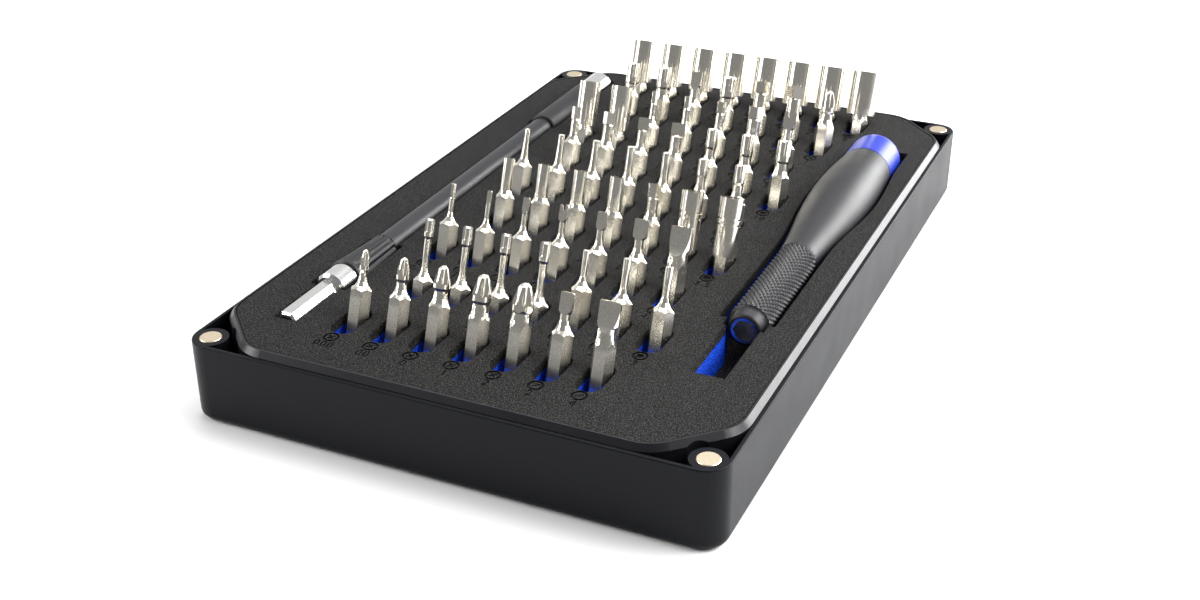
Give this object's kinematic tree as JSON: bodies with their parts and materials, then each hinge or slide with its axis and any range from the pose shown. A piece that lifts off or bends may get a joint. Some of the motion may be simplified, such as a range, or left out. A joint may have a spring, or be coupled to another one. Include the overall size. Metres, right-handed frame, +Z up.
{
  "type": "precision screwdriver set",
  "caption": "Tray of leaning hex-shank bits in layered foam, with a handle that has a free-turning cap and a flexible extension beside them.",
  "frame": {"origin": "centre of the tray's underside", "axes": "+X across the tray to the driver's side, +Y along the tray away from the small bits, +Z up out of the tray"},
  "size_m": [0.1104, 0.1722, 0.0316],
  "materials": {
    "case_plastic": "fine satin grain",
    "liner_plastic": "satin",
    "black_foam": "closed-cell foam, finely speckled",
    "blue_foam": "closed-cell foam",
    "magnet_nickel": "nickel plate",
    "grip_coating": "soft satin coating",
    "blue_plastic": "satin moulded",
    "black_rubber": "smooth",
    "steel": "bright turned",
    "bit_nickel": "satin nickel plate"
  },
  "bodies": {
    "case": {"case_shell": "case_plastic", "case_magnets": "magnet_nickel", "liner_tray": "liner_plastic", "foam_base_block": "black_foam", "foam_blue_layer": "blue_foam", "foam_top_sheet": "black_foam"},
    "driver": {"driver_handle": "grip_coating", "driver_bit_socket": "steel", "driver_socket_magnet": "magnet_nickel", "driver_cap_axle": "steel"},
    "driver_cap": {"driver_swivel_cap": "blue_plastic", "driver_cap_bearing": "steel"},
    "flex_extension": {"flex_hex_shank": "steel", "flex_collar": "steel", "flex_core": "steel", "flex_sheath": "black_rubber", "flex_rear_ferrule": "grip_coating", "flex_socket": "steel", "flex_socket_magnet": "magnet_nickel"},
    "flex_sleeve": {"flex_grip_sleeve": "grip_coating"},
    "bit_cross_0": {"bit_cross_0": "bit_nickel"},
    "bit_cross_00": {"bit_cross_00": "bit_nickel"},
    "bit_cross_000": {"bit_cross_000": "bit_nickel"},
    "bit_cross_1": {"bit_cross_1": "bit_nickel"},
    "bit_cross_2": {"bit_cross_2": "bit_nickel"},
    "bit_hex_0_9": {"bit_hex_0_9": "bit_nickel"},
    "bit_hex_2_5": {"bit_hex_2_5": "bit_nickel"},
    "bit_nut_1_5": {"bit_nut_1_5": "bit_nickel"},
    "bit_nut_2_0": {"bit_nut_2_0": "bit_nickel"},
    "bit_nut_2_2": {"bit_nut_2_2": "bit_nickel"},
    "bit_nut_2_5": {"bit_nut_2_5": "bit_nickel"},
    "bit_nut_3_0": {"bit_nut_3_0": "bit_nickel"},
    "bit_nut_3_5": {"bit_nut_3_5": "bit_nickel"},
    "bit_pentalobe_1": {"bit_pentalobe_1": "bit_nickel"},
    "bit_pentalobe_2": {"bit_pentalobe_2": "bit_nickel"},
    "bit_pentalobe_3": {"bit_pentalobe_3": "bit_nickel"},
    "bit_slot_1_0": {"bit_slot_1_0": "bit_nickel"},
    "bit_slot_1_5": {"bit_slot_1_5": "bit_nickel"},
    "bit_slot_2_0": {"bit_slot_2_0": "bit_nickel"},
    "bit_slot_2_5": {"bit_slot_2_5": "bit_nickel"},
    "bit_slot_3_0": {"bit_slot_3_0": "bit_nickel"},
    "bit_slot_4_0": {"bit_slot_4_0": "bit_nickel"},
    "bit_slot_4_5": {"bit_slot_4_5": "bit_nickel"},
    "bit_spanner_1_8": {"bit_spanner_1_8": "bit_nickel"},
    "bit_tripoint_1": {"bit_tripoint_1": "bit_nickel"},
    "bit_tripoint_2": {"bit_tripoint_2": "bit_nickel"},
    "bit_tripoint_3": {"bit_tripoint_3": "bit_nickel"},
    "bit_tripoint_4": {"bit_tripoint_4": "bit_nickel"},
    "bits_row_5_left": {"bits_row_5_left": "bit_nickel"},
    "bits_row_5_right": {"bits_row_5_right": "bit_nickel"},
    "bits_row_6_left": {"bits_row_6_left": "bit_nickel"},
    "bits_row_6_right": {"bits_row_6_right": "bit_nickel"},
    "bits_row_7_left": {"bits_row_7_left": "bit_nickel"},
    "bits_row_7_right": {"bits_row_7_right": "bit_nickel"},
    "bits_row_8_left": {"bits_row_8_left": "bit_nickel"},
    "bits_row_8_right": {"bits_row_8_right": "bit_nickel"},
    "bits_row_9_left": {"bits_row_9_left": "bit_nickel"},
    "bits_row_9_right": {"bits_row_9_right": "bit_nickel"}
  },
  "joints": [
    {"name": "driver_lift", "type": "slide", "parent": "case", "child": "driver", "axis": [0, 0, 1], "range_m": [0, 0.03]},
    {"name": "driver_cap_spin", "type": "hinge", "parent": "driver", "child": "driver_cap", "pos_m": [0.04175, 0.0467, 0.0172], "axis": [0, 1, 0], "continuous": true},
    {"name": "flex_lift", "type": "slide", "parent": "case", "child": "flex_extension", "axis": [0, 0, 1], "range_m": [0, 0.03]},
    {"name": "flex_sleeve_spin", "type": "hinge", "parent": "flex_extension", "child": "flex_sleeve", "pos_m": [-0.041, -0.0507, 0.0172], "axis": [0, 1, 0], "continuous": true},
    {"name": "bit_cross_0_pull", "type": "slide", "parent": "case", "child": "bit_cross_0", "axis": [0, 0.342, 0.9397], "range_m": [0, 0.017]},
    {"name": "bit_cross_00_pull", "type": "slide", "parent": "case", "child": "bit_cross_00", "axis": [0, 0.342, 0.9397], "range_m": [0, 0.017]},
    {"name": "bit_cross_000_pull", "type": "slide", "parent": "case", "child": "bit_cross_000", "axis": [0, 0.342, 0.9397], "range_m": [0, 0.017]},
    {"name": "bit_cross_1_pull", "type": "slide", "parent": "case", "child": "bit_cross_1", "axis": [0, 0.342, 0.9397], "range_m": [0, 0.017]},
    {"name": "bit_cross_2_pull", "type": "slide", "parent": "case", "child": "bit_cross_2", "axis": [0, 0.342, 0.9397], "range_m": [0, 0.017]},
    {"name": "bit_hex_0_9_pull", "type": "slide", "parent": "case", "child": "bit_hex_0_9", "axis": [0, 0.342, 0.9397], "range_m": [0, 0.017]},
    {"name": "bit_hex_2_5_pull", "type": "slide", "parent": "case", "child": "bit_hex_2_5", "axis": [0, 0.342, 0.9397], "range_m": [0, 0.017]},
    {"name": "bit_nut_1_5_pull", "type": "slide", "parent": "case", "child": "bit_nut_1_5", "axis": [0, 0.342, 0.9397], "range_m": [0, 0.017]},
    {"name": "bit_nut_2_0_pull", "type": "slide", "parent": "case", "child": "bit_nut_2_0", "axis": [0, 0.342, 0.9397], "range_m": [0, 0.017]},
    {"name": "bit_nut_2_2_pull", "type": "slide", "parent": "case", "child": "bit_nut_2_2", "axis": [0, 0.342, 0.9397], "range_m": [0, 0.017]},
    {"name": "bit_nut_2_5_pull", "type": "slide", "parent": "case", "child": "bit_nut_2_5", "axis": [0, 0.342, 0.9397], "range_m": [0, 0.017]},
    {"name": "bit_nut_3_0_pull", "type": "slide", "parent": "case", "child": "bit_nut_3_0", "axis": [0, 0.342, 0.9397], "range_m": [0, 0.017]},
    {"name": "bit_nut_3_5_pull", "type": "slide", "parent": "case", "child": "bit_nut_3_5", "axis": [0, 0.342, 0.9397], "range_m": [0, 0.017]},
    {"name": "bit_pentalobe_1_pull", "type": "slide", "parent": "case", "child": "bit_pentalobe_1", "axis": [0, 0.342, 0.9397], "range_m": [0, 0.017]},
    {"name": "bit_pentalobe_2_pull", "type": "slide", "parent": "case", "child": "bit_pentalobe_2", "axis": [0, 0.342, 0.9397], "range_m": [0, 0.017]},
    {"name": "bit_pentalobe_3_pull", "type": "slide", "parent": "case", "child": "bit_pentalobe_3", "axis": [0, 0.342, 0.9397], "range_m": [0, 0.017]},
    {"name": "bit_slot_1_0_pull", "type": "slide", "parent": "case", "child": "bit_slot_1_0", "axis": [0, 0.342, 0.9397], "range_m": [0, 0.017]},
    {"name": "bit_slot_1_5_pull", "type": "slide", "parent": "case", "child": "bit_slot_1_5", "axis": [0, 0.342, 0.9397], "range_m": [0, 0.017]},
    {"name": "bit_slot_2_0_pull", "type": "slide", "parent": "case", "child": "bit_slot_2_0", "axis": [0, 0.342, 0.9397], "range_m": [0, 0.017]},
    {"name": "bit_slot_2_5_pull", "type": "slide", "parent": "case", "child": "bit_slot_2_5", "axis": [0, 0.342, 0.9397], "range_m": [0, 0.017]},
    {"name": "bit_slot_3_0_pull", "type": "slide", "parent": "case", "child": "bit_slot_3_0", "axis": [0, 0.342, 0.9397], "range_m": [0, 0.017]},
    {"name": "bit_slot_4_0_pull", "type": "slide", "parent": "case", "child": "bit_slot_4_0", "axis": [0, 0.342, 0.9397], "range_m": [0, 0.017]},
    {"name": "bit_slot_4_5_pull", "type": "slide", "parent": "case", "child": "bit_slot_4_5", "axis": [0, 0.342, 0.9397], "range_m": [0, 0.017]},
    {"name": "bit_spanner_1_8_pull", "type": "slide", "parent": "case", "child": "bit_spanner_1_8", "axis": [0, 0.342, 0.9397], "range_m": [0, 0.017]},
    {"name": "bit_tripoint_1_pull", "type": "slide", "parent": "case", "child": "bit_tripoint_1", "axis": [0, 0.342, 0.9397], "range_m": [0, 0.017]},
    {"name": "bit_tripoint_2_pull", "type": "slide", "parent": "case", "child": "bit_tripoint_2", "axis": [0, 0.342, 0.9397], "range_m": [0, 0.017]},
    {"name": "bit_tripoint_3_pull", "type": "slide", "parent": "case", "child": "bit_tripoint_3", "axis": [0, 0.342, 0.9397], "range_m": [0, 0.017]},
    {"name": "bit_tripoint_4_pull", "type": "slide", "parent": "case", "child": "bit_tripoint_4", "axis": [0, 0.342, 0.9397], "range_m": [0, 0.017]},
    {"name": "bits_row_5_left_pull", "type": "slide", "parent": "case", "child": "bits_row_5_left", "axis": [0, 0.342, 0.9397], "range_m": [0, 0.017]},
    {"name": "bits_row_5_right_pull", "type": "slide", "parent": "case", "child": "bits_row_5_right", "axis": [0, 0.342, 0.9397], "range_m": [0, 0.017]},
    {"name": "bits_row_6_left_pull", "type": "slide", "parent": "case", "child": "bits_row_6_left", "axis": [0, 0.342, 0.9397], "range_m": [0, 0.017]},
    {"name": "bits_row_6_right_pull", "type": "slide", "parent": "case", "child": "bits_row_6_right", "axis": [0, 0.342, 0.9397], "range_m": [0, 0.017]},
    {"name": "bits_row_7_left_pull", "type": "slide", "parent": "case", "child": "bits_row_7_left", "axis": [0, 0.342, 0.9397], "range_m": [0, 0.017]},
    {"name": "bits_row_7_right_pull", "type": "slide", "parent": "case", "child": "bits_row_7_right", "axis": [0, 0.342, 0.9397], "range_m": [0, 0.017]},
    {"name": "bits_row_8_left_pull", "type": "slide", "parent": "case", "child": "bits_row_8_left", "axis": [0, 0.342, 0.9397], "range_m": [0, 0.017]},
    {"name": "bits_row_8_right_pull", "type": "slide", "parent": "case", "child": "bits_row_8_right", "axis": [0, 0.342, 0.9397], "range_m": [0, 0.017]},
    {"name": "bits_row_9_left_pull", "type": "slide", "parent": "case", "child": "bits_row_9_left", "axis": [0, 0.342, 0.9397], "range_m": [0, 0.017]},
    {"name": "bits_row_9_right_pull", "type": "slide", "parent": "case", "child": "bits_row_9_right", "axis": [0, 0.342, 0.9397], "range_m": [0, 0.017]}
  ]
}
